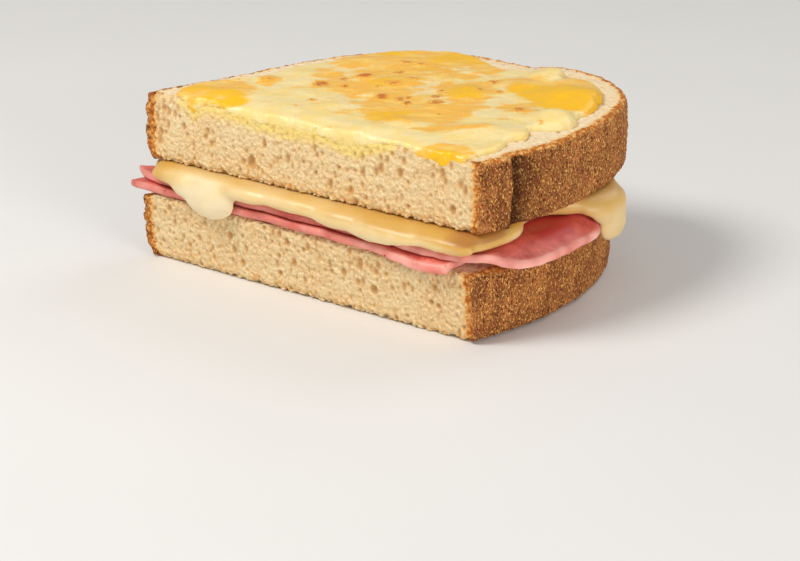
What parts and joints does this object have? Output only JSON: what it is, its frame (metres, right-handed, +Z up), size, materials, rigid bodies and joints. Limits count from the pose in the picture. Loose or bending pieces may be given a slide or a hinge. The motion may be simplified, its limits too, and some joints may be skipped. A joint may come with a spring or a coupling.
{
  "type": "half of a ham and cheese toastie",
  "caption": "Half of a toasted ham and cheese sandwich, cut across: two bread slices, ham, a melted cheese filling and melted cheese on top.",
  "frame": {"origin": "middle of the footprint's box, on the board that the food lies on", "axes": "+Z up, +X to the right along the cut face, -Y out of the cut face"},
  "size_m": [0.12, 0.0864, 0.0489],
  "materials": {
    "crumb": "matte toasted crumb",
    "ham": "moist satin",
    "filling": "soft melted gloss",
    "topping": "melted gloss with browned spots"
  },
  "bodies": {
    "root": {"bread_bottom": "crumb", "ham_lower": "ham", "ham_upper": "ham", "cheese_filling": "filling", "bread_top": "crumb", "cheese_topping": "topping"}
  },
  "joints": []
}
